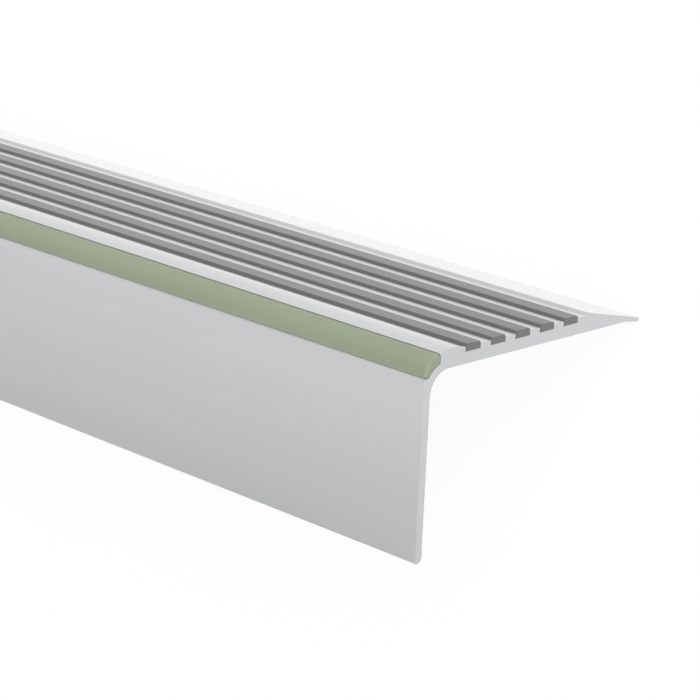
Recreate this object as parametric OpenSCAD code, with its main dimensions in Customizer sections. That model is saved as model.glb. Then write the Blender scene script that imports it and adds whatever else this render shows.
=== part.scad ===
// Stair nosing: an L profile with five grip strips and a luminous strip at its nose.
// The section is drawn as it sits on a step, y back from the riser face and z up from
// the tread's top, and the finished stock is then laid on its tail tip and its foot.

/* [Stock] */
// Length of the piece of stock
stock_length = 900; // [100:10:3000]

/* [Base profile] */
// Depth of the tread leg, from the riser face to the end of the tail
tread_depth = 45; // [41:0.5:60]
// Height of the riser leg, from the tread's top to the bottom of the foot
riser_height = 29.85; // [15:0.05:50]
// Thickness of the tread leg
tread_t = 2.45; // [2:0.05:3.5]
// Thickness of the riser leg
riser_t = 1.2; // [1.1:0.05:2]
// Radius of the fillet inside the corner of the two legs
inner_r = 3.5; // [2.5:0.1:4.5]

/* [Nose] */
// Distance of the crown's crest behind the riser face
crown_y = 5.1; // [4.5:0.1:6]
// Height of the crown above the tread's top
crown_h = 0.42; // [0.2:0.02:0.6]
// Radius of the nose ahead of the crown
nose_r = 3.6; // [3.2:0.1:4]
// Wall of the base behind the luminous strip
bend_t = 1.25; // [0.8:0.05:1.5]

/* [Luminous strip] */
// Depth of the ledge under the luminous strip, below the tread's top
ledge_depth = 3.2; // [2.5:0.05:3.6]
// Distance of the luminous strip's back wall behind the riser face
luminous_back = 3; // [2.8:0.05:3.6]
// Depth below the tread's top at which the back wall starts to lean over the strip
shoulder_depth = 0.44; // [0.2:0.02:0.7]
// Lean of the upper back wall from upright, in degrees
shoulder_lean = 38; // [10:1:45]
// How far the luminous strip stands out from the nose
luminous_proud = 0.15; // [0.05:0.05:0.3]

/* [Grip strips] */
// Distance of the first groove behind the riser face
first_groove_y = 7.85; // [7:0.05:9]
// Number of grip strips
strip_count = 5; // [1:1:5]
// Distance from one grip strip to the next
strip_pitch = 5.08; // [4:0.02:5.6]
// Width of a grip strip and its groove
strip_w = 3.05; // [2:0.05:4]
// Depth of a groove below the tread's top
groove_depth = 0.7; // [0.4:0.05:1]
// Height of a grip strip above the tread's top
strip_proud = 0.4; // [0.2:0.02:0.8]
// Bevel along the front top edge of a grip strip
front_bevel = 0.38; // [0.1:0.02:0.6]
// Bevel along the back top edge of a grip strip
back_bevel = 0.25; // [0.1:0.05:0.6]

/* [Tail] */
// Flat of the tread behind the last grip strip
tail_flat = 1.7; // [0.3:0.1:2]
// Depth of the rib's front slope
rib_rise = 0.8; // [0.7:0.1:2.5]
// Height of the rib's crest above the tread's top
rib_h = 0.3; // [0.2:0.02:0.6]
// Radius of the rib's crest
rib_r = 0.8; // [0.3:0.1:1.2]
// Thickness of the tail's round tip
tip_t = 0.62; // [0.4:0.02:1]
// Drop of the tip's centre below the underside of the tread
tip_drop = 0.1; // [0:0.02:0.3]
// Length of the lip at the tail that bends down to the tip
lip_len = 3.2; // [2:0.1:6]

/* [Foot] */
// Radius of the foot's edge on the riser face
foot_front_r = 0.25; // [0.1:0.05:0.4]
// Radius of the foot's bead on the inner side
foot_back_r = 1; // [0.5:0.05:1]
// How far the bead stands out from the inner face
foot_proud = 0.1; // [0.05:0.05:0.3]

/* [Hidden] */
$fn = 96;
strip_name = "grip_strip_";

// Overrun of a cutting shape past the face that it opens
over = 1;
// How far a straight face runs inside the round edge that it meets, so that the two cross
blend = 0.002;

// Centre of the bend inside the corner, shared by the fillet and the recess floor
bend_y = riser_t + inner_r;
bend_z = -tread_t - inner_r;

// Radius of the crown's arc, from its crest to the first groove's edge at the tread's top
crown_half = first_groove_y - crown_y;
crown_r = (pow(crown_half, 2) + pow(crown_h, 2)) / (2 * crown_h);

// Tail: end of the last groove, the rib's crest and the tip
last_groove_end = first_groove_y + (strip_count - 1) * strip_pitch + strip_w;
rib_y = last_groove_end + tail_flat + rib_rise;
rib_centre = [rib_y, rib_h - rib_r];
tip_r = tip_t / 2;
tip_centre = [tread_depth - tip_r, -tread_t - tip_drop];
lip_start = [tread_depth - lip_len, -tread_t];
rib_foot = [last_groove_end + tail_flat, 0];

// Foot: centres of its two round edges
foot_front = [foot_front_r, foot_front_r - riser_height];
foot_back = [riser_t + foot_proud - foot_back_r, foot_back_r - riser_height];

// Resting place: the floor touches the round tip and the foot's bead
rest_span = tip_centre - foot_back;
rest_angle = atan2(rest_span[1], rest_span[0]) + asin((foot_back_r - tip_r) / norm(rest_span));
rest_along = [cos(rest_angle), sin(rest_angle)];
rest_down = [sin(rest_angle), -cos(rest_angle)];
rest_floor = foot_back * rest_down + foot_back_r;
rest_front = foot_front * rest_along - foot_front_r;
rest_back = tip_centre * rest_along + tip_r;

// Point where a line from a point touches a circle; side is 1 for the circle's left, -1 for its right
function touch(from, centre, radius, side) =
    let (way = centre - from, reach = norm(way), turn = asin(radius / reach))
    let (course = atan2(way[1], way[0]) + side * turn)
    from + sqrt(reach * reach - radius * radius) * [cos(course), sin(course)];

// Angle of the tail's upper slope, along the outer tangent of the rib's crest and the tip
function tail_course() =
    let (way = tip_centre - rib_centre)
    atan2(way[1], way[0]) - asin((rib_r - tip_r) / norm(way));

// Lays a section out along the stock's length, at rest on the floor
module laid_stock() {
    translate([-stock_length / 2, -(rest_front + rest_back) / 2, rest_floor])
        rotate([-rest_angle, 0, 0])
            rotate([90, 0, 90])
                linear_extrude(height = stock_length)
                    children();
}

// Recess at the nose: ledge below, leaning wall behind, round floor inside
module luminous_recess() {
    lean_reach = (shoulder_depth + over) * tan(shoulder_lean);
    difference() {
        polygon([
            [-over, -ledge_depth],
            [luminous_back, -ledge_depth],
            [luminous_back, -shoulder_depth],
            [luminous_back - lean_reach, over],
            [-over, over],
        ]);
        translate([bend_y, bend_z])
            circle(r = inner_r + bend_t);
    }
}

// Section of the luminous strip: it fills the recess out to a round face
module luminous_section() {
    intersection() {
        luminous_recess();
        translate([nose_r, -nose_r])
            circle(r = nose_r + luminous_proud);
    }
}

// Section of one grip strip, seated on the floor of its groove
module grip_section(i) {
    y = first_groove_y + i * strip_pitch;
    polygon([
        [y, -groove_depth],
        [y + strip_w, -groove_depth],
        [y + strip_w, strip_proud - back_bevel],
        [y + strip_w - back_bevel, strip_proud],
        [y + front_bevel, strip_proud],
        [y, strip_proud - front_bevel],
    ]);
}

// Corner of the two legs, with the crown on top and the fillet inside
module nose_section() {
    difference() {
        translate([0, bend_z])
            square([bend_y, -bend_z]);
        translate([bend_y, bend_z])
            circle(r = inner_r);
    }
    intersection() {
        translate([crown_y, crown_h - crown_r])
            circle(r = crown_r);
        translate([0, -tread_t])
            square([first_groove_y, tread_t + crown_h]);
    }
}

// Tread leg from the bend to the rib, and the tail that slopes to the round tip
module tread_section() {
    course = tail_course();
    slope_out = [-sin(course), cos(course)];
    translate([bend_y, -tread_t])
        square([rib_y - bend_y, tread_t]);
    polygon([
        rib_foot,
        [rib_foot[0], -tread_t],
        lip_start,
        touch(lip_start, tip_centre, tip_r - blend, -1),
        tip_centre,
        tip_centre + (tip_r - blend) * slope_out,
        rib_centre + (rib_r - blend) * slope_out,
        touch(rib_foot, rib_centre, rib_r - blend, 1),
    ]);
    translate(rib_centre)
        circle(r = rib_r);
    translate(tip_centre)
        circle(r = tip_r);
}

// Riser leg, down to the foot with its front edge and its bead
module riser_section() {
    translate([0, foot_back[1]])
        square([riser_t, bend_z - foot_back[1]]);
    translate([0, foot_front[1]])
        square([foot_front_r, foot_back[1] - foot_front[1]]);
    translate(foot_front)
        circle(r = foot_front_r);
    intersection() {
        translate([foot_front_r, -riser_height])
            square([riser_t + foot_proud, 2 * foot_back_r]);
        union() {
            translate(foot_back)
                circle(r = foot_back_r);
            translate([foot_back[0] - riser_t, -riser_height])
                square([riser_t, foot_back_r]);
        }
    }
}

// Rigid base: both legs in one piece, with the grooves and the recess
module base_profile() {
    color([0.80, 0.81, 0.82])
        laid_stock()
            difference() {
                union() {
                    nose_section();
                    tread_section();
                    riser_section();
                }
                luminous_recess();
                for (i = [0 : strip_count - 1])
                    translate([first_groove_y + i * strip_pitch, -groove_depth])
                        square([strip_w, groove_depth + over]);
            }
}

// Soft strip that glows in the dark, round the nose
module luminous_strip() {
    color([0.61, 0.65, 0.55])
        laid_stock()
            luminous_section();
}

// Soft grip strip in its groove, counted from the nose
module grip_strip(i) {
    color([0.44, 0.45, 0.46])
        laid_stock()
            grip_section(i);
}

base_profile();
luminous_strip();
for (i = [0 : strip_count - 1])
    grip_strip(i);
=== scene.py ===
"""Looks of a stair nosing: a light-grey L profile with dark grip strips and a luminous strip.

The section is drawn as it sits on a step: y runs back from the riser's front face and z up from
the tread's top. Each piece is its section drawn out along the stock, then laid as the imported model
lies. Lengths are in metres.
"""

import logging
import math
from dataclasses import dataclass, field
from enum import Enum

import bmesh
import bpy
import numpy as np
from mathutils import Matrix, Vector


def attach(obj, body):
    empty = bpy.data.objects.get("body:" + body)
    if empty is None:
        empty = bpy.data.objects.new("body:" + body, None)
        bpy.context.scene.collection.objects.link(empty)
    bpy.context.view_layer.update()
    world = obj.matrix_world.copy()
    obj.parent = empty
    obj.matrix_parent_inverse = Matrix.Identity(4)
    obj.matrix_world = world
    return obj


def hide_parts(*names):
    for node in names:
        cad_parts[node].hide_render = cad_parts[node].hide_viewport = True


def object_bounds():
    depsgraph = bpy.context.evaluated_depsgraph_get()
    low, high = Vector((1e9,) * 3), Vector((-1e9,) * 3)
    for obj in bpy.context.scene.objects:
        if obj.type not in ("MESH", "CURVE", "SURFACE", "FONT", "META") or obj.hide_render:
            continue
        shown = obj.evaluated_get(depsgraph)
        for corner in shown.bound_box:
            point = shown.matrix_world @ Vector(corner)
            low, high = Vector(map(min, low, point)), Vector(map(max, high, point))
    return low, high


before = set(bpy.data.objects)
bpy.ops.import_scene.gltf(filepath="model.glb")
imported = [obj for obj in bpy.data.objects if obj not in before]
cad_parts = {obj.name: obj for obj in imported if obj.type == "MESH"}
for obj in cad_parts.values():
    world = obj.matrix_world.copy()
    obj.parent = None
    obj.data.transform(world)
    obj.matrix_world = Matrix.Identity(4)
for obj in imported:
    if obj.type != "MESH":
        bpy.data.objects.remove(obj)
cad_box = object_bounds()

log = logging.getLogger("stair_nosing")

MM = 0.001

# The CAD body that every piece rides on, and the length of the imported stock
BODY = "root"
STOCK_LENGTH = cad_box[1].x - cad_box[0].x

# Steps along a round run: the coarser of an angle and a length
ARC_STEP = math.radians(3)
ARC_PITCH = 0.04 * MM

# Steps round a soft corner, which are also the fewest along a round run
SOFT_STEPS = 4
# Share of a soft corner that is left where the outline draws in past it
CORNER_KEPT = 0.2
# Name of the mark that is 1 on the vertices of soft corners; the luminous plastic paints shade there
EDGE_MARK = "soft_edge"

# Middle range of a noise, which is stretched to run from 0 to 1
NOISE_LOW = 0.3
NOISE_HIGH = 0.7

# Places of the sockets of a colour mix node, whose names repeat
MIX_SHARE = 0
MIX_FIRST = 6
MIX_SECOND = 7
MIX_RESULT = 2

# Die lines: how they stretch along the stock
LINE_STRETCH = Vector((0.01, 1.0, 1.0))
LINE_DETAIL = 2.0

# Pigment: its fine grain and the slow drift of its shade
GRAIN_DETAIL = 1.0
DRIFT_PER_METRE = 25.0
DRIFT_DETAIL = 2.0

# Sawn ends: the depth that counts as sawn, and how the blade's marks wander
SAWN_DEPTH = 0.02 * MM
MARK_WANDER = 2.0
MARK_DETAIL = 2.0

# Light goes as far into a plastic in red, green and blue
EVEN_REACH = (1.0, 1.0, 1.0)

Colour = tuple[float, float, float, float]
Socket = bpy.types.NodeSocket
WHITE: Colour = (1.0, 1.0, 1.0, 1.0)


def at(y: float, z: float) -> Vector:
    """A point of the section."""
    return Vector((y, z))


def left_of(way: Vector) -> Vector:
    """Direction to the left of another one."""
    return at(-way[1], way[0])


def put(name: str, data: bpy.types.ID) -> bpy.types.Object:
    """Puts a new object into the scene.

    Args:
        name: Name of the object.
        data: Its mesh, light or camera.

    Returns:
        The object.
    """
    made = bpy.data.objects.new(name, data)
    bpy.context.scene.collection.objects.link(made)
    return made


class Turn(Enum):
    """Way round an arc, seen with y to the right and z up."""

    LEFT = 1
    RIGHT = -1


@dataclass(frozen=True)
class Circle:
    """A circle in the section."""

    centre: Vector
    radius: float

    def angle_to(self, point: Vector) -> float:
        """Angle of a point seen from the centre, from +y towards +z."""
        return math.atan2(point[1] - self.centre[1], point[0] - self.centre[0])

    def toward(self, angle: float) -> Vector:
        """Point of the circle at an angle from +y towards +z."""
        return self.centre + self.radius * at(math.cos(angle), math.sin(angle))

    def leaves(self, inside: Vector, way: Vector) -> Vector:
        """Point where a line leaves the circle.

        Args:
            inside: A point of the line inside the circle.
            way: Direction of the line.

        Returns:
            The point on the circle.
        """
        course = way.normalized()
        offset = inside - self.centre
        along = offset.dot(course)
        reach = math.sqrt(along**2 + self.radius**2 - offset.length_squared)
        return inside + (reach - along) * course

    def touch_from(self, point: Vector, side: Turn) -> Vector:
        """Point where a line from outside touches the circle.

        Args:
            point: Start of the line.
            side: Side of the circle that the line touches, seen from its start.

        Returns:
            The tangent point.
        """
        way = self.centre - point
        lean = math.asin(self.radius / way.length)
        course = math.atan2(way[1], way[0]) + side.value * lean
        reach = way.length * math.cos(lean)
        return point + reach * at(math.cos(course), math.sin(course))


@dataclass(frozen=True)
class Run:
    """One smooth stretch of an outline, straight or round.

    Attributes:
        start: Where it starts.
        end: Where it ends.
        soften: Length that the corner at its end is cut back by.
        circle: The circle that a round run follows.
        turn: Way round that circle.
    """

    start: Vector
    end: Vector
    soften: float
    circle: Circle | None = None
    turn: Turn = Turn.LEFT

    @property
    def sweep(self) -> float:
        """Angle that a round run turns through."""
        turned = self.circle.angle_to(self.end) - self.circle.angle_to(self.start)
        return self.turn.value * turned % math.tau

    def heading(self, point: Vector) -> Vector:
        """Direction of the run at one of its points.

        Args:
            point: The point.

        Returns:
            The direction, of length 1.
        """
        if self.circle is None:
            return (self.end - self.start).normalized()
        return self.turn.value * left_of((point - self.circle.centre).normalized())

    def stretch(self, head: float, tail: float, inset: float) -> list[Vector]:
        """Points of the run, drawn in to its left.

        Args:
            head: Length left out at the start.
            tail: Length left out at the end.
            inset: How far the run is drawn in.

        Returns:
            The points, always as many for the same run.
        """
        if self.circle is None:
            way = self.heading(self.start)
            aside = inset * left_of(way)
            return [self.start + head * way + aside, self.end - tail * way + aside]
        by_angle = math.ceil(self.sweep / ARC_STEP)
        by_length = math.ceil(self.sweep * self.circle.radius / ARC_PITCH)
        count = max(SOFT_STEPS, min(by_angle, by_length))
        radius = self.circle.radius - self.turn.value * inset
        drawn_in = Circle(self.circle.centre, radius)
        first = self.circle.angle_to(self.start)
        turns = np.linspace(head / radius, self.sweep - tail / radius, count + 1)
        return [drawn_in.toward(first + self.turn.value * turn) for turn in turns]


@dataclass
class Outline:
    """A closed section, drawn run by run with the solid on the left, with soft corners."""

    start: Vector
    runs: list[Run] = field(default_factory=list)

    @property
    def here(self) -> Vector:
        """Where the drawing has come to."""
        return self.runs[-1].end if self.runs else self.start

    def line(self, end: Vector, soften: float = 0.0) -> "Outline":
        """Draws a straight run.

        Args:
            end: Where the run ends.
            soften: Length that the corner at its end is cut back by.

        Returns:
            The outline itself.
        """
        self.runs.append(Run(self.here, end, soften))
        return self

    def arc(self, circle: Circle, end: Vector, turn: Turn, soften: float = 0.0) -> "Outline":
        """Draws a round run.

        Args:
            circle: The circle that the run follows.
            end: Where the run ends, on the circle.
            turn: Way round the circle.
            soften: Length that the corner at its end is cut back by.

        Returns:
            The outline itself.
        """
        self.runs.append(Run(self.here, end, soften, circle, turn))
        return self

    def corner(self, index: int, inset: float) -> tuple[Vector, float]:
        """The corner at the end of a run, drawn in.

        Args:
            index: Number of the run.
            inset: How far the outline is drawn in.

        Returns:
            The corner's point, and the length that it cuts from both runs there.
        """
        run = self.runs[index]
        follows = self.runs[(index + 1) % len(self.runs)]
        before = left_of(run.heading(run.end))
        after = left_of(follows.heading(follows.start))
        closeness = 1.0 + before.dot(after)
        point = run.end + inset / closeness * (before + after)
        cut = inset * before.cross(after) / closeness
        if run.soften == 0.0:
            return point, cut
        return point, max(run.soften, cut + CORNER_KEPT * run.soften)

    def ring(self, inset: float) -> list[tuple[Vector, float]]:
        """The outline's points, with each soft corner turned into a short curve.

        Args:
            inset: How far the outline is drawn in.

        Returns:
            Pairs of a point and its mark, 1 on a soft corner and 0 elsewhere, always as many, with
            the first not repeated at the end.
        """
        corners, cuts = zip(*(self.corner(index, inset) for index in range(len(self.runs))))
        kept = [run.stretch(cuts[i - 1], cuts[i], inset) for i, run in enumerate(self.runs)]
        points: list[tuple[Vector, float]] = []
        for i, stretch in enumerate(kept):
            if self.runs[i - 1].soften > 0.0:
                points.append((stretch[0], 1.0))
            points.extend((point, 0.0) for point in stretch[1:-1])
            corner = corners[i]
            if self.runs[i].soften == 0.0:
                points.append((corner, 0.0))
                continue
            first = stretch[-1]
            last = kept[(i + 1) % len(kept)][0]
            for t in np.linspace(0.0, 1.0, SOFT_STEPS + 1)[:-1]:
                curve = (1 - t) ** 2 * first + 2 * t * (1 - t) * corner + t**2 * last
                points.append((curve, 1.0))
        return points


@dataclass(frozen=True)
class GripRow:
    """The dark soft strips in the grooves of the tread leg.

    Attributes:
        first_y: Distance of the first groove behind the riser face.
        count: Number of strips.
        pitch: Distance from one strip to the next.
        width: Width of a strip and its groove.
        depth: Depth of a groove below the tread's top.
        proud: Height of a strip above the tread's top.
        front_bevel: Bevel along the front top edge of a strip.
        back_bevel: Bevel along the back top edge of a strip.
        edge: Softening of its long edges.
        rim: Radius of the softened rim of its sawn ends.
    """

    first_y: float = 7.85 * MM
    count: int = 5
    pitch: float = 5.08 * MM
    width: float = 3.05 * MM
    depth: float = 0.7 * MM
    proud: float = 0.4 * MM
    front_bevel: float = 0.38 * MM
    back_bevel: float = 0.25 * MM
    edge: float = 0.06 * MM
    rim: float = 0.1 * MM

    @property
    def fronts(self) -> list[float]:
        """Front edge of each groove, from the nose to the tail."""
        return [self.first_y + index * self.pitch for index in range(self.count)]

    @property
    def end_y(self) -> float:
        """Rear edge of the last groove."""
        return self.fronts[-1] + self.width

    def outline(self, front: float) -> Outline:
        """Section of one strip.

        Args:
            front: Front edge of its groove.

        Returns:
            The strip's outline, counter-clockwise.
        """
        back = front + self.width
        return (
            Outline(at(front, -self.depth))
            .line(at(back, -self.depth))
            .line(at(back, self.proud - self.back_bevel), self.edge)
            .line(at(back - self.back_bevel, self.proud), self.edge)
            .line(at(front + self.front_bevel, self.proud), self.edge)
            .line(at(front, self.proud - self.front_bevel), self.edge)
            .line(at(front, -self.depth))
        )

    def build(self, stock: "Stock", finish: "PlasticFinish") -> list[bpy.types.Object]:
        """Makes and dresses every strip.

        Args:
            stock: The length of stock that the strips run along.
            finish: The strips' plastic.

        Returns:
            The strips, from the nose to the tail.
        """
        strips = []
        for number, front in enumerate(self.fronts, start=1):
            strip = stock.draw(f"grip_band_{number}", self.outline(front), self.rim)
            finish.dress(strip, f"grip_strip_{number}")
            strips.append(strip)
        return strips


@dataclass(frozen=True)
class LuminousStrip:
    """The luminous strip round the nose, and the recess that it fills.

    Attributes:
        ledge_depth: Depth of the ledge under the strip, below the tread's top.
        back: Distance of the recess's back wall behind the riser face.
        shoulder_depth: Depth below the tread's top at which that wall starts to lean over.
        shoulder_lean: Lean of the upper back wall from upright.
        nose_r: Radius of the nose.
        proud: How far the strip stands out from the nose.
        upper_edge: Softening of its upper long edge.
        lower_edge: Softening of its lower long edge.
        rim: Radius of the softened rim of its sawn ends.
    """

    ledge_depth: float = 3.2 * MM
    back: float = 3.0 * MM
    shoulder_depth: float = 0.44 * MM
    shoulder_lean: float = math.radians(38)
    nose_r: float = 3.6 * MM
    proud: float = 0.15 * MM
    upper_edge: float = 0.3 * MM
    lower_edge: float = 0.25 * MM
    rim: float = 0.4 * MM

    @property
    def face(self) -> Circle:
        """The strip's round outer face."""
        return Circle(at(self.nose_r, -self.nose_r), self.nose_r + self.proud)

    @property
    def shoulder(self) -> Vector:
        """Where the recess's back wall starts to lean over the strip."""
        return at(self.back, -self.shoulder_depth)

    @property
    def lean(self) -> Vector:
        """Direction of the leaning wall, upwards."""
        return at(-math.sin(self.shoulder_lean), math.cos(self.shoulder_lean))

    def wall_foot(self, floor: Circle) -> Vector:
        """Where the upright back wall meets the recess's round floor."""
        return floor.leaves(at(self.back, floor.centre[1]), at(0, 1))

    def ledge_back(self, floor: Circle) -> Vector:
        """Where the ledge meets the recess's round floor."""
        return floor.leaves(at(floor.centre[0], -self.ledge_depth), at(-1, 0))

    def outline(self, floor: Circle) -> Outline:
        """Section of the strip.

        Args:
            floor: The recess's round floor.

        Returns:
            The strip's outline, counter-clockwise.
        """
        ledge = self.ledge_back(floor)
        wall = self.wall_foot(floor)
        upper = self.face.leaves(self.shoulder, self.lean)
        lower = self.face.leaves(at(self.back, -self.ledge_depth), at(-1, 0))
        return (
            Outline(ledge)
            .arc(floor, wall, Turn.RIGHT)
            .line(self.shoulder)
            .line(upper, self.upper_edge)
            .arc(self.face, lower, Turn.LEFT, self.lower_edge)
            .line(ledge)
        )

    def build(self, stock: "Stock", floor: Circle, finish: "PlasticFinish") -> bpy.types.Object:
        """Makes and dresses the strip.

        Args:
            stock: The length of stock that the strip runs along.
            floor: The recess's round floor.
            finish: The strip's plastic.

        Returns:
            The strip.
        """
        strip = stock.draw("luminous_band", self.outline(floor), self.rim)
        finish.dress(strip, "luminous_strip")
        return strip


@dataclass(frozen=True)
class BaseProfile:
    """The rigid L profile, with a groove for each grip strip and a recess for the luminous strip.

    Attributes:
        grips: The grip strips, which give the grooves.
        luminous: The luminous strip, which gives the recess.
        tread_depth: Depth of the tread leg, from the riser face to the end of the tail.
        riser_height: Height of the riser leg, from the tread's top to the bottom of the foot.
        tread_t: Thickness of the tread leg.
        riser_t: Thickness of the riser leg.
        inner_r: Radius of the fillet inside the corner of the two legs.
        bend_t: Wall behind the luminous strip.
        crown_y: Distance of the crown's crest behind the riser face.
        crown_h: Height of the crown above the tread's top.
        tail_flat: Flat of the tread behind the last grip strip.
        rib_rise: Depth of the rib's front slope.
        rib_h: Height of the rib's crest above the tread's top.
        rib_r: Radius of the rib's crest.
        tip_t: Thickness of the tail's round tip.
        tip_drop: Drop of the tip's centre below the underside of the tread.
        lip_len: Length of the lip at the tail that bends down to the tip.
        foot_front_r: Radius of the foot's edge on the riser face.
        foot_back_r: Radius of the foot's bead on the inner side.
        foot_proud: How far the bead stands out from the inner face.
        edge: Softening of the long edges.
        rim: Radius of the softened rim of the sawn ends.
    """

    grips: GripRow
    luminous: LuminousStrip
    tread_depth: float = 45 * MM
    riser_height: float = 29.85 * MM
    tread_t: float = 2.45 * MM
    riser_t: float = 1.2 * MM
    inner_r: float = 3.5 * MM
    bend_t: float = 1.25 * MM
    crown_y: float = 5.1 * MM
    crown_h: float = 0.42 * MM
    tail_flat: float = 1.7 * MM
    rib_rise: float = 0.8 * MM
    rib_h: float = 0.3 * MM
    rib_r: float = 0.8 * MM
    tip_t: float = 0.62 * MM
    tip_drop: float = 0.1 * MM
    lip_len: float = 3.2 * MM
    foot_front_r: float = 0.25 * MM
    foot_back_r: float = 1.0 * MM
    foot_proud: float = 0.1 * MM
    edge: float = 0.06 * MM
    rim: float = 0.06 * MM

    @property
    def bend(self) -> Circle:
        """Fillet inside the corner of the two legs."""
        return Circle(at(self.riser_t + self.inner_r, -self.tread_t - self.inner_r), self.inner_r)

    @property
    def recess_floor(self) -> Circle:
        """Round floor of the recess, one wall outside the fillet."""
        return Circle(self.bend.centre, self.inner_r + self.bend_t)

    @property
    def crown(self) -> Circle:
        """Arc over the nose, down to the first groove's edge at the tread's top.

        Returns:
            The circle of the arc.
        """
        half = self.grips.first_y - self.crown_y
        radius = (half**2 + self.crown_h**2) / (2 * self.crown_h)
        return Circle(at(self.crown_y, self.crown_h - radius), radius)

    @property
    def rib_foot(self) -> Vector:
        """Foot of the rib's front slope."""
        return at(self.grips.end_y + self.tail_flat, 0)

    @property
    def rib(self) -> Circle:
        """Crest of the rib."""
        return Circle(at(self.rib_foot[0] + self.rib_rise, self.rib_h - self.rib_r), self.rib_r)

    @property
    def tip(self) -> Circle:
        """Round tip of the tail."""
        radius = self.tip_t / 2
        return Circle(at(self.tread_depth - radius, -self.tread_t - self.tip_drop), radius)

    @property
    def foot_front(self) -> Circle:
        """Foot's edge on the riser face."""
        z = self.foot_front_r - self.riser_height
        return Circle(at(self.foot_front_r, z), self.foot_front_r)

    @property
    def foot_back(self) -> Circle:
        """Foot's bead on the inner side."""
        y = self.riser_t + self.foot_proud - self.foot_back_r
        return Circle(at(y, self.foot_back_r - self.riser_height), self.foot_back_r)

    def laid(self) -> Matrix:
        """Place of the section at rest, where the floor touches the round tip and the foot's bead.

        Returns:
            The matrix from the section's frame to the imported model's frame.
        """
        span = self.tip.centre - self.foot_back.centre
        lean = math.asin((self.foot_back_r - self.tip.radius) / span.length)
        angle = math.atan2(span[1], span[0]) + lean
        along = at(math.cos(angle), math.sin(angle))
        down = at(math.sin(angle), -math.cos(angle))
        front = self.foot_front.centre.dot(along) - self.foot_front_r
        back = self.tip.centre.dot(along) + self.tip.radius
        floor = self.foot_back.centre.dot(down) + self.foot_back_r
        place = Vector((0, -(front + back) / 2, floor))
        return Matrix.Translation(place) @ Matrix.Rotation(-angle, 4, "X")

    def outline(self) -> Outline:
        """Section of the profile.

        Returns:
            The profile's outline, counter-clockwise from the front edge of the first groove.
        """
        drawn = Outline(at(self.grips.first_y, 0))
        self.draw_nose(drawn)
        self.draw_riser(drawn)
        self.draw_tail(drawn)
        self.draw_grooves(drawn)
        return drawn

    def draw_nose(self, drawn: Outline) -> None:
        """Draws the crown and the recess, down to the ledge's front edge.

        Args:
            drawn: The outline, at the front edge of the first groove.
        """
        recess = self.luminous
        floor = self.recess_floor
        brow = self.crown.leaves(recess.shoulder, recess.lean)
        drawn.arc(self.crown, brow, Turn.LEFT, self.edge)
        drawn.line(recess.shoulder)
        drawn.line(recess.wall_foot(floor))
        drawn.arc(floor, recess.ledge_back(floor), Turn.LEFT)
        drawn.line(at(0, -recess.ledge_depth), self.edge)

    def draw_riser(self, drawn: Outline) -> None:
        """Draws the riser leg down its face, round the foot and up to the fillet.

        Args:
            drawn: The outline, at the ledge's front edge.
        """
        front = self.foot_front
        back = self.foot_back
        drawn.line(at(0, front.centre[1]))
        drawn.arc(front, at(front.centre[0], -self.riser_height), Turn.LEFT)
        drawn.line(at(back.centre[0], -self.riser_height))
        inner = back.leaves(at(self.riser_t, back.centre[1]), at(0, 1))
        drawn.arc(back, inner, Turn.LEFT, self.edge)
        drawn.line(at(self.riser_t, self.bend.centre[1]))

    def draw_tail(self, drawn: Outline) -> None:
        """Draws the underside of the tread leg, the tip, the tail's slope and the rib.

        Args:
            drawn: The outline, at the lower end of the fillet.
        """
        rib = self.rib
        tip = self.tip
        lip = at(self.tread_depth - self.lip_len, -self.tread_t)
        drawn.arc(self.bend, at(self.bend.centre[0], -self.tread_t), Turn.RIGHT)
        drawn.line(lip, self.edge)
        drawn.line(tip.touch_from(lip, Turn.RIGHT))
        way = tip.centre - rib.centre
        slope = math.atan2(way[1], way[0]) - math.asin((rib.radius - tip.radius) / way.length)
        drawn.arc(tip, tip.toward(slope + math.pi / 2), Turn.LEFT)
        drawn.line(rib.toward(slope + math.pi / 2))
        drawn.arc(rib, rib.touch_from(self.rib_foot, Turn.LEFT), Turn.LEFT)
        drawn.line(self.rib_foot, self.edge)

    def draw_grooves(self, drawn: Outline) -> None:
        """Draws the tread's top from the tail to the nose, with its grooves.

        Args:
            drawn: The outline, at the foot of the rib's front slope.
        """
        for front in reversed(self.grips.fronts):
            back = front + self.grips.width
            drawn.line(at(back, 0), self.edge)
            drawn.line(at(back, -self.grips.depth))
            drawn.line(at(front, -self.grips.depth))
            drawn.line(at(front, 0), self.edge)

    def build(self, stock: "Stock", finish: "PlasticFinish") -> bpy.types.Object:
        """Makes and dresses the profile.

        Args:
            stock: The length of stock.
            finish: The profile's plastic.

        Returns:
            The profile.
        """
        profile = stock.draw("rigid_base", self.outline(), self.rim)
        finish.dress(profile, "base_profile")
        return profile


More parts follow.
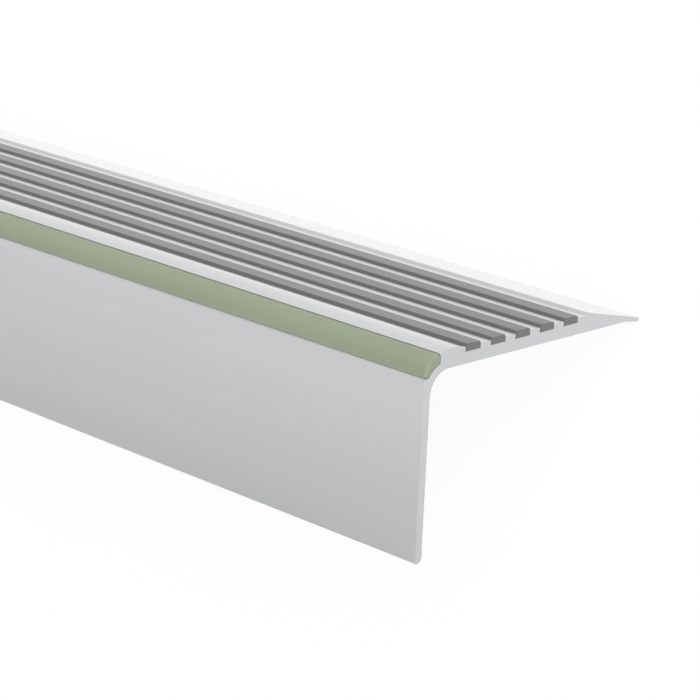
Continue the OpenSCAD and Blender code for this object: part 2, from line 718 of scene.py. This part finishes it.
@dataclass(frozen=True)
class Stock:
    """A sawn length of stock, along which each section is drawn out.

    Attributes:
        length: Its length.
        laid: The matrix from the section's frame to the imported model's frame.
        bays: Number of bays that a piece is divided into between its sawn ends.
        rim_steps: Steps round the rim of a sawn end.
    """

    length: float
    laid: Matrix
    bays: int = 60
    rim_steps: int = 4

    @property
    def half(self) -> float:
        """Half of the length."""
        return self.length / 2

    def stations(self, rim: float) -> list[tuple[float, float]]:
        """Places along the stock where the section is set, closing in round each sawn end.

        Args:
            rim: Radius of the softened rim of a sawn end.

        Returns:
            Pairs of a place along x and how far the section draws in there.
        """
        turns = np.linspace(0.0, math.pi / 2, self.rim_steps + 1).tolist()
        end = [(self.half - rim * (1 - math.sin(t)), rim * (1 - math.cos(t))) for t in turns]
        start = [(-x, inset) for x, inset in reversed(end)]
        middle = np.linspace(start[-1][0], end[0][0], self.bays + 1)[1:-1]
        return start + [(x, 0.0) for x in middle] + end

    def shell(self, outline: Outline, rim: float) -> bmesh.types.BMesh:
        """Draws a section out along the stock as a closed shell.

        The shell is in millimetres, because the sawn ends are filled exactly only in a size well
        above Blender's rounding.

        Args:
            outline: The section.
            rim: Radius of the softened rim of a sawn end.

        Returns:
            The shell, in the section's frame.
        """
        body = bmesh.new()
        edge = body.verts.layers.float.new(EDGE_MARK)
        rings = []
        for x, inset in self.stations(rim):
            ring = []
            for point, mark in outline.ring(inset):
                vert = body.verts.new((x / MM, *(point / MM)))
                vert[edge] = mark
                ring.append(vert)
            rings.append(ring)
        count = len(rings[0])
        for near, far in zip(rings[:-1], rings[1:]):
            for i in range(count):
                j = (i + 1) % count
                body.faces.new((near[i], near[j], far[j], far[i]))
        caps = [body.faces.new(rings[-1]), body.faces.new(rings[0][::-1])]
        body.normal_update()
        bmesh.ops.triangulate(body, faces=caps, ngon_method="EAR_CLIP")
        return body

    def draw(self, name: str, outline: Outline, rim: float) -> bpy.types.Object:
        """Makes a piece from its section.

        Args:
            name: Name of the piece.
            outline: The section.
            rim: Radius of the softened rim of a sawn end.

        Returns:
            The piece, laid at rest.
        """
        body = self.shell(outline, rim)
        mesh = bpy.data.meshes.new(name)
        body.to_mesh(mesh)
        body.free()
        mesh.transform(self.laid @ Matrix.Scale(MM, 4))
        mesh.shade_smooth()
        piece = put(name, mesh)
        even = piece.modifiers.new("even_shading", "WEIGHTED_NORMAL")
        even.keep_sharp = True
        return piece


@dataclass
class NodeSheet:
    """A shader tree that nodes are added to."""

    tree: bpy.types.NodeTree

    def add(self, kind: str, **settings: object) -> bpy.types.Node:
        """Adds a node.

        Args:
            kind: The node's type.
            settings: Its properties.

        Returns:
            The node.
        """
        node = self.tree.nodes.new(kind)
        for name, value in settings.items():
            setattr(node, name, value)
        return node

    def feed(self, target: Socket, value: "Socket | float | Colour | Vector") -> None:
        """Links a socket to an input, or sets the input to a plain value.

        Args:
            target: The input.
            value: The socket or the plain value.
        """
        if isinstance(value, Socket):
            self.tree.links.new(value, target)
        else:
            target.default_value = value

    def sum(self, operation: str, *values: "Socket | float") -> Socket:
        """Puts a math node.

        Args:
            operation: What the node does.
            values: Its inputs.

        Returns:
            Its output.
        """
        node = self.add("ShaderNodeMath", operation=operation)
        for target, value in zip(node.inputs, values):
            self.feed(target, value)
        return node.outputs[0]

    def weigh(self, *parts: tuple[Socket, float]) -> Socket:
        """Adds up values by their weights.

        Args:
            parts: Pairs of a value and its weight.

        Returns:
            The sum.
        """
        total: Socket | float = 0.0
        for value, weight in parts:
            total = self.sum("MULTIPLY_ADD", value, weight, total)
        return total

    def spread(self, value: Socket, low: float, high: float) -> Socket:
        """Maps a value from 0 to 1 onto a range.

        Args:
            value: The value.
            low: What 0 becomes.
            high: What 1 becomes.

        Returns:
            The mapped value.
        """
        node = self.add("ShaderNodeMapRange")
        for name, part in (("Value", value), ("To Min", low), ("To Max", high)):
            self.feed(node.inputs[name], part)
        return node.outputs["Result"]

    def blend(self, share: Socket, first: "Socket | Colour", second: "Socket | Colour") -> Socket:
        """Mixes two colours.

        Args:
            share: Share of the second colour.
            first: First colour.
            second: Second colour.

        Returns:
            The mixed colour.
        """
        node = self.add("ShaderNodeMix", data_type="RGBA")
        for index, part in ((MIX_SHARE, share), (MIX_FIRST, first), (MIX_SECOND, second)):
            self.feed(node.inputs[index], part)
        return node.outputs[MIX_RESULT]

    def layer(self, share: Socket, first: Socket, second: Socket) -> Socket:
        """Mixes two shaders.

        Args:
            share: Share of the second shader.
            first: First shader.
            second: Second shader.

        Returns:
            The mixed shader.
        """
        node = self.add("ShaderNodeMixShader")
        for target, part in zip(node.inputs, (share, first, second)):
            self.feed(target, part)
        return node.outputs[0]

    def noise(self, place: Socket, scale: "Socket | float", detail: float) -> Socket:
        """Puts a noise whose middle range is stretched to run from 0 to 1.

        Args:
            place: Where the noise is read.
            scale: Its scale.
            detail: Its detail.

        Returns:
            The noise.
        """
        node = self.add("ShaderNodeTexNoise")
        for name, part in (("Vector", place), ("Scale", scale), ("Detail", detail)):
            self.feed(node.inputs[name], part)
        stretched = self.add("ShaderNodeMapRange")
        limits = (("From Min", NOISE_LOW), ("From Max", NOISE_HIGH))
        for name, part in (("Value", node.outputs[0]), *limits):
            self.feed(stretched.inputs[name], part)
        return stretched.outputs["Result"]


class Effect(Enum):
    """Surface effects that every plastic of the stock shares."""

    DIE_LINES = "die_lines"
    PIGMENT = "pigment_grain"
    SAW_CUT = "saw_cut"

    def tree(self) -> bpy.types.NodeTree:
        """The effect's node group, built the first time that it is asked for."""
        made = bpy.data.node_groups.get(self.value)
        return made or EFFECT_BUILDERS[self](self.value)

    def place(self, sheet: NodeSheet, **inputs: "Socket | float") -> bpy.types.NodeOutputs:
        """Places the effect in a material.

        Args:
            sheet: The material's nodes.
            inputs: Values of the group's inputs, by name.

        Returns:
            The group's outputs, by name.
        """
        node = sheet.add("ShaderNodeGroup", node_tree=self.tree())
        for name, value in inputs.items():
            sheet.feed(node.inputs[name], value)
        return node.outputs


def new_group(
    name: str, inputs: tuple[str, ...], outputs: tuple[str, ...]
) -> tuple[NodeSheet, list[Socket], list[Socket]]:
    """Starts a node group whose first input is a place and whose other sockets are numbers.

    Args:
        name: The group's name.
        inputs: Names of its number inputs.
        outputs: Names of its outputs.

    Returns:
        The group's sheet, the sockets that come in, from the place on, and those that go out.
    """
    tree = bpy.data.node_groups.new(name, "ShaderNodeTree")
    tree.interface.new_socket("place", in_out="INPUT", socket_type="NodeSocketVector")
    for label in inputs:
        tree.interface.new_socket(label, in_out="INPUT", socket_type="NodeSocketFloat")
    for label in outputs:
        tree.interface.new_socket(label, in_out="OUTPUT", socket_type="NodeSocketFloat")
    sheet = NodeSheet(tree)
    entry = sheet.add("NodeGroupInput").outputs
    leave = sheet.add("NodeGroupOutput").inputs
    return sheet, [entry[label] for label in ("place", *inputs)], [leave[label] for label in outputs]


def build_die_lines(name: str) -> bpy.types.NodeTree:
    """Faint lines along the stock that the die leaves.

    Args:
        name: The group's name.

    Returns:
        The group, with lines from 0 to 1.
    """
    sheet, (place, per_metre), (lines,) = new_group(name, ("per_metre",), ("lines",))
    drawn = sheet.add("ShaderNodeVectorMath", operation="MULTIPLY")
    sheet.feed(drawn.inputs[0], place)
    sheet.feed(drawn.inputs[1], LINE_STRETCH)
    sheet.feed(lines, sheet.noise(drawn.outputs[0], per_metre, LINE_DETAIL))
    return sheet.tree


def build_pigment_grain(name: str) -> bpy.types.NodeTree:
    """Fine grain of the pigment, and the slow drift of its shade.

    Args:
        name: The group's name.

    Returns:
        The group, with grain and drift from 0 to 1.
    """
    sheet, (place, per_metre), (grain, drift) = new_group(name, ("per_metre",), ("grain", "drift"))
    sheet.feed(grain, sheet.noise(place, per_metre, GRAIN_DETAIL))
    sheet.feed(drift, sheet.noise(place, DRIFT_PER_METRE, DRIFT_DETAIL))
    return sheet.tree


def build_saw_cut(name: str) -> bpy.types.NodeTree:
    """The two sawn ends and the marks of the blade on them.

    Args:
        name: The group's name.

    Returns:
        The group, with a mask of the sawn faces and the marks from 0 to 1 on them.
    """
    sheet, (place, half, per_metre), (face, marks) = new_group(
        name, ("half", "per_metre"), ("face", "marks")
    )
    parts = sheet.add("ShaderNodeSeparateXYZ")
    sheet.feed(parts.inputs[0], place)
    reach = sheet.sum("ABSOLUTE", parts.outputs[0])
    sawn = sheet.sum("GREATER_THAN", reach, sheet.sum("SUBTRACT", half, SAWN_DEPTH))
    wave = sheet.add("ShaderNodeTexWave", bands_direction="DIAGONAL")
    sheet.feed(wave.inputs["Vector"], place)
    sheet.feed(wave.inputs["Scale"], per_metre)
    sheet.feed(wave.inputs["Distortion"], MARK_WANDER)
    sheet.feed(wave.inputs["Detail"], MARK_DETAIL)
    sheet.feed(face, sawn)
    sheet.feed(marks, sheet.sum("MULTIPLY", sawn, wave.outputs["Fac"]))
    return sheet.tree


EFFECT_BUILDERS = {
    Effect.DIE_LINES: build_die_lines,
    Effect.PIGMENT: build_pigment_grain,
    Effect.SAW_CUT: build_saw_cut,
}


@dataclass(frozen=True)
class Surface:
    """What the shared effects give over a plastic's surface, each from 0 to 1.

    Attributes:
        lines: Lines of the die.
        grain: Grain of the pigment.
        drift: Slow drift of its shade.
        sawn: Mask of the sawn faces.
        marks: Marks of the blade on them.
    """

    lines: Socket
    grain: Socket
    drift: Socket
    sawn: Socket
    marks: Socket


@dataclass(frozen=True)
class PlasticFinish:
    """One of the plastics that the stock is extruded from.

    Attributes:
        name: Name of its material.
        slot: The record's material slot; not used.
        colour: Its colour.
        shade: The darker shade that the colour varies to.
        cut_colour: Its colour on a sawn face.
        roughness: Its roughness.
        roughness_spread: How far the die lines vary the roughness either way.
        lines_per_metre: Scale of the die lines.
        grains_per_metre: Scale of the pigment's grain.
        line_share: Share of the die lines in the shade.
        grain_share: Share of the grain in the shade.
        drift_share: Share of the slow drift in the shade.
        line_height: Height of the die lines.
        grain_height: Height of the grain.
        mark_height: Height of the saw marks.
        marks_per_metre: Scale of the saw marks.
        cut_roughness: What a sawn face adds to the roughness.
        reflection: How strongly the plastic itself reflects.
        coat: Weight of the glossy skin on it.
        coat_ior: Refractive index of that skin.
        translucency: Share of the light that goes into the plastic.
        light_reach: How far that light goes.
        painted_edge_shade_colour: Colour of the painted shade along its soft long edges, if it has
            one.
    """

    name: str
    slot: str
    colour: Colour
    shade: Colour
    cut_colour: Colour
    roughness: float
    roughness_spread: float
    lines_per_metre: float
    grains_per_metre: float
    line_share: float
    grain_share: float
    drift_share: float
    line_height: float
    grain_height: float
    mark_height: float
    marks_per_metre: float = 300.0
    cut_roughness: float = 0.08
    reflection: float = 0.5
    coat: float = 0.0
    coat_ior: float = 1.5
    translucency: float = 0.0
    light_reach: float = 0.0
    painted_edge_shade_colour: Colour | None = None

    def dress(self, piece: bpy.types.Object, node: str) -> None:
        """Gives a piece this plastic, and lets it stand for its CAD node.

        Args:
            piece: The piece.
            node: The CAD node that it stands for.
        """
        piece.data.materials.append(self.material())
        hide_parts(node)
        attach(piece, BODY)

    def material(self) -> bpy.types.Material:
        """The plastic's material, built the first time that it is asked for."""
        made = bpy.data.materials.get(self.name)
        return made or self.new_material()

    def new_material(self) -> bpy.types.Material:
        """Builds the material.

        Returns:
            The material.
        """
        material = bpy.data.materials.new(self.name)
        material.use_nodes = True
        material.diffuse_color = self.colour
        sheet = NodeSheet(material.node_tree)
        surface = self.surface(sheet)
        skin = material.node_tree.nodes["Principled BSDF"].inputs
        sheet.feed(skin["Base Color"], self.tint(sheet, surface))
        sheet.feed(skin["Roughness"], self.dullness(sheet, surface))
        sheet.feed(skin["Normal"], self.relief(sheet, surface))
        skin["Specular IOR Level"].default_value = self.reflection
        skin["Coat Weight"].default_value = self.coat
        skin["Coat Roughness"].default_value = self.roughness
        skin["Coat IOR"].default_value = self.coat_ior
        skin["Subsurface Weight"].default_value = self.translucency
        skin["Subsurface Radius"].default_value = EVEN_REACH
        skin["Subsurface Scale"].default_value = self.light_reach
        return material

    def surface(self, sheet: NodeSheet) -> Surface:
        """Places the shared effects, with this plastic's values.

        Args:
            sheet: The material's nodes.

        Returns:
            What the effects give.
        """
        place = sheet.add("ShaderNodeTexCoord").outputs["Object"]
        half = STOCK_LENGTH / 2
        die = Effect.DIE_LINES.place(sheet, place=place, per_metre=self.lines_per_metre)
        pigment = Effect.PIGMENT.place(sheet, place=place, per_metre=self.grains_per_metre)
        saw = Effect.SAW_CUT.place(sheet, place=place, half=half, per_metre=self.marks_per_metre)
        return Surface(die["lines"], pigment["grain"], pigment["drift"], saw["face"], saw["marks"])

    def tint(self, sheet: NodeSheet, surface: Surface) -> Socket:
        """The plastic's colour: varied by lines, grain and drift, with painted shade along its soft
        edges, and its sawn faces.

        Args:
            sheet: The material's nodes.
            surface: What the shared effects give.

        Returns:
            The colour.
        """
        tone = sheet.weigh(
            (surface.lines, self.line_share),
            (surface.grain, self.grain_share),
            (surface.drift, self.drift_share),
        )
        drawn = sheet.blend(tone, self.colour, self.shade)
        # Painted shade: the colour darkens along the soft long edges, where little light falls
        if self.painted_edge_shade_colour:
            painted_shade_mask = sheet.add("ShaderNodeAttribute", attribute_name=EDGE_MARK).outputs["Fac"]
            drawn = sheet.blend(painted_shade_mask, drawn, self.painted_edge_shade_colour)
        return sheet.blend(surface.sawn, drawn, self.cut_colour)

    def dullness(self, sheet: NodeSheet, surface: Surface) -> Socket:
        """The plastic's roughness: varied by the die lines, and duller where it is sawn.

        Args:
            sheet: The material's nodes.
            surface: What the shared effects give.

        Returns:
            The roughness.
        """
        low = self.roughness - self.roughness_spread
        high = self.roughness + self.roughness_spread
        drawn = sheet.spread(surface.lines, low, high)
        cut = sheet.sum("MULTIPLY", surface.sawn, self.cut_roughness)
        return sheet.sum("ADD", drawn, cut)

    def relief(self, sheet: NodeSheet, surface: Surface) -> Socket:
        """The plastic's relief: die lines, grain and saw marks, by their heights in metres.

        Args:
            sheet: The material's nodes.
            surface: What the shared effects give.

        Returns:
            The normal.
        """
        height = sheet.weigh(
            (surface.lines, self.line_height),
            (surface.grain, self.grain_height),
            (surface.marks, self.mark_height),
        )
        bump = sheet.add("ShaderNodeBump")
        bump.inputs["Distance"].default_value = 1.0
        sheet.feed(bump.inputs["Height"], height)
        return bump.outputs[0]


LIGHT_GREY = PlasticFinish(
    name="light_grey_rigid",
    slot="base_plastic",
    colour=(0.556, 0.567, 0.574, 1.0),
    shade=(0.519, 0.529, 0.536, 1.0),
    cut_colour=(0.522, 0.533, 0.540, 1.0),
    roughness=0.12,
    roughness_spread=0.03,
    lines_per_metre=900.0,
    grains_per_metre=4000.0,
    line_share=0.45,
    grain_share=0.2,
    drift_share=0.35,
    line_height=0.0006 * MM,
    grain_height=0.0002 * MM,
    mark_height=0.001 * MM,
    reflection=0.22,
    coat=1.0,
    coat_ior=1.3,
)

SAGE_LUMINOUS = PlasticFinish(
    name="sage_luminous",
    slot="luminous_plastic",
    colour=(0.313, 0.356, 0.254, 1.0),
    shade=(0.289, 0.330, 0.233, 1.0),
    cut_colour=(0.305, 0.340, 0.257, 1.0),
    roughness=0.55,
    roughness_spread=0.04,
    lines_per_metre=700.0,
    grains_per_metre=6000.0,
    line_share=0.2,
    grain_share=0.5,
    drift_share=0.3,
    line_height=0.0006 * MM,
    grain_height=0.001 * MM,
    mark_height=0.002 * MM,
    reflection=0.05,
    translucency=0.8,
    light_reach=1.0 * MM,
    # Painted shade along the strip's soft long edges
    painted_edge_shade_colour=(0.262, 0.290, 0.234, 1.0),
)

DARK_GRIP = PlasticFinish(
    name="dark_grey_grip",
    slot="grip_plastic",
    colour=(0.126, 0.127, 0.128, 1.0),
    shade=(0.111, 0.112, 0.113, 1.0),
    cut_colour=(0.142, 0.143, 0.144, 1.0),
    roughness=0.25,
    roughness_spread=0.04,
    lines_per_metre=800.0,
    grains_per_metre=5000.0,
    line_share=0.4,
    grain_share=0.3,
    drift_share=0.3,
    line_height=0.0008 * MM,
    grain_height=0.001 * MM,
    mark_height=0.002 * MM,
)


@dataclass(frozen=True)
class SoftLamp:
    """A rectangular soft lamp.

    Attributes:
        name: Its name.
        stand: Where it hangs.
        aim: The place that it is aimed at.
        size: Width and height of its face.
        level: How bright its face is.
        spread: Angle that its light spreads over.
    """

    name: str
    stand: tuple[float, float, float]
    aim: tuple[float, float, float]
    size: tuple[float, float]
    level: float
    spread: float = math.pi

    def build(self) -> None:
        """Hangs the lamp."""
        data = bpy.data.lights.new(self.name, "AREA")
        data.shape = "RECTANGLE"
        data.size, data.size_y = self.size
        data.energy = self.level * math.pi * self.size[0] * self.size[1]
        data.spread = self.spread
        lamp = put(self.name, data)
        lamp.location = self.stand
        way = Vector(self.aim) - Vector(self.stand)
        lamp.rotation_mode = "QUATERNION"
        lamp.rotation_quaternion = way.to_track_quat("-Z", "Y")
        lamp.visible_camera = False


BACK_BOX = SoftLamp(
    name="back_box",
    stand=(0.8, 1.8, 2.19),
    aim=(0.8, 0.0, 0.01),
    size=(4.0, 1.8),
    level=3.2,
)

CORNER_BOX = SoftLamp(
    name="corner_box",
    stand=(2.4, -1.8, 0.99),
    aim=(0.4, 0.0, 0.01),
    size=(2.4, 1.8),
    level=3.2,
)

RISER_STRIP = SoftLamp(
    name="riser_strip",
    stand=(0.1, -0.524, 0.336),
    aim=(0.1, -0.0073, 0.0315),
    size=(1.8, 0.02),
    level=0.57,
    spread=math.radians(8),
)


@dataclass(frozen=True)
class Studio:
    """A pale floor in white surroundings, with soft lamps.

    Attributes:
        floor_size: Length of the floor's sides.
        floor_colour: Colour of the floor.
        white_share: Share of plain white in how the floor looks; the rest keeps the shadow.
        fill: Strength of the even light from the surroundings.
        lamps: The lamps.
    """

    floor_size: float = 12.0
    floor_colour: Colour = (0.9, 0.9, 0.9, 1.0)
    white_share: float = 0.95
    fill: float = 0.35
    lamps: tuple[SoftLamp, ...] = (BACK_BOX, CORNER_BOX, RISER_STRIP)

    def build(self) -> None:
        """Sets the floor, the surroundings and the lamps."""
        self.build_floor()
        self.build_surroundings()
        for lamp in self.lamps:
            lamp.build()

    @staticmethod
    def seen(sheet: NodeSheet) -> Socket:
        """Light path mask of what the eye, a gloss or a clear body looks at.

        Args:
            sheet: The nodes of the floor or the surroundings.

        Returns:
            1 for those rays and 0 for the rest.
        """
        path = sheet.add("ShaderNodeLightPath").outputs
        mirrored = sheet.sum("MAXIMUM", path["Is Glossy Ray"], path["Is Transmission Ray"])
        return sheet.sum("MAXIMUM", path["Is Camera Ray"], mirrored)

    def build_floor(self) -> None:
        """Lays the floor, which looks white and keeps the shadow."""
        half = self.floor_size / 2
        mesh = bpy.data.meshes.new("floor")
        corners = [(-half, -half, 0), (half, -half, 0), (half, half, 0), (-half, half, 0)]
        mesh.from_pydata(corners, [], [(0, 1, 2, 3)])
        material = bpy.data.materials.new("pale_floor")
        material.use_nodes = True
        sheet = NodeSheet(material.node_tree)
        matt = material.node_tree.nodes["Principled BSDF"]
        matt.inputs["Base Color"].default_value = self.floor_colour
        matt.inputs["Roughness"].default_value = 1.0
        matt.inputs["Specular IOR Level"].default_value = 0.0
        white = sheet.add("ShaderNodeEmission")
        white.inputs["Color"].default_value = WHITE
        share = sheet.sum("MULTIPLY", self.seen(sheet), self.white_share)
        either = sheet.layer(share, matt.outputs[0], white.outputs[0])
        sheet.feed(material.node_tree.nodes["Material Output"].inputs["Surface"], either)
        mesh.materials.append(material)
        put("floor", mesh)

    def build_surroundings(self) -> None:
        """Makes the surroundings white to look at, and an even soft light."""
        world = bpy.data.worlds.new("white_surroundings")
        bpy.context.scene.world = world
        world.use_nodes = True
        sheet = NodeSheet(world.node_tree)
        light = world.node_tree.nodes["Background"]
        light.inputs["Color"].default_value = WHITE
        light.inputs["Strength"].default_value = self.fill
        white = sheet.add("ShaderNodeBackground")
        white.inputs["Color"].default_value = WHITE
        either = sheet.layer(self.seen(sheet), light.outputs[0], white.outputs[0])
        sheet.feed(world.node_tree.nodes["World Output"].inputs["Surface"], either)


@dataclass(frozen=True)
class Eye:
    """The camera, placed in the section's frame so that it keeps its view of the laid stock.

    Attributes:
        past_end: Its distance past the sawn end.
        ahead: Its distance ahead of the riser face.
        above: Its height above the tread's top.
        heading: Its turn about the upright.
        pitch: How far it looks up.
        roll: Its turn about the line of sight.
        lens_mm: Focal length in millimetres.
        sensor_mm: Width of the sensor in millimetres.
        near: Distance at which it starts to see.
        far: Distance at which it ends.
    """

    past_end: float = 250.903 * MM
    ahead: float = 270.993 * MM
    above: float = 112.386 * MM
    heading: float = math.radians(44.38685)
    pitch: float = math.radians(-16.85835)
    roll: float = math.radians(2.57556)
    lens_mm: float = 147.81847
    sensor_mm: float = 36.0
    near: float = 10 * MM
    far: float = 100.0

    def build(self, stock: Stock) -> None:
        """Sets up the camera.

        Args:
            stock: The length of stock that it looks at.
        """
        data = bpy.data.cameras.new("eye")
        data.lens = self.lens_mm
        data.sensor_width = self.sensor_mm
        data.clip_start = self.near
        data.clip_end = self.far
        camera = put("eye", data)
        stand = Matrix.Translation((stock.half + self.past_end, -self.ahead, self.above))
        level = Matrix.Rotation(self.heading, 4, "Z")
        tilt = Matrix.Rotation(math.pi / 2 + self.pitch, 4, "X")
        turn = Matrix.Rotation(self.roll, 4, "Z")
        camera.matrix_world = stock.laid @ stand @ level @ tilt @ turn
        bpy.context.scene.camera = camera


def main() -> None:
    """Builds the pieces, the studio and the camera, and reports each piece."""
    logging.basicConfig(level=logging.INFO, format="%(name)s: %(message)s")
    bpy.context.scene.view_settings.view_transform = "Standard"
    grips = GripRow()
    luminous = LuminousStrip()
    base = BaseProfile(grips, luminous)
    stock = Stock(STOCK_LENGTH, base.laid())
    pieces = [base.build(stock, LIGHT_GREY)]
    pieces.append(luminous.build(stock, base.recess_floor, SAGE_LUMINOUS))
    pieces.extend(grips.build(stock, DARK_GRIP))
    for piece in pieces:
        faces = len(piece.data.polygons)
        log.info("%s has %d faces, in %s", piece.name, faces, piece.data.materials[0].name)
    Studio().build()
    Eye().build(stock)


if __name__ == "__main__":
    main()
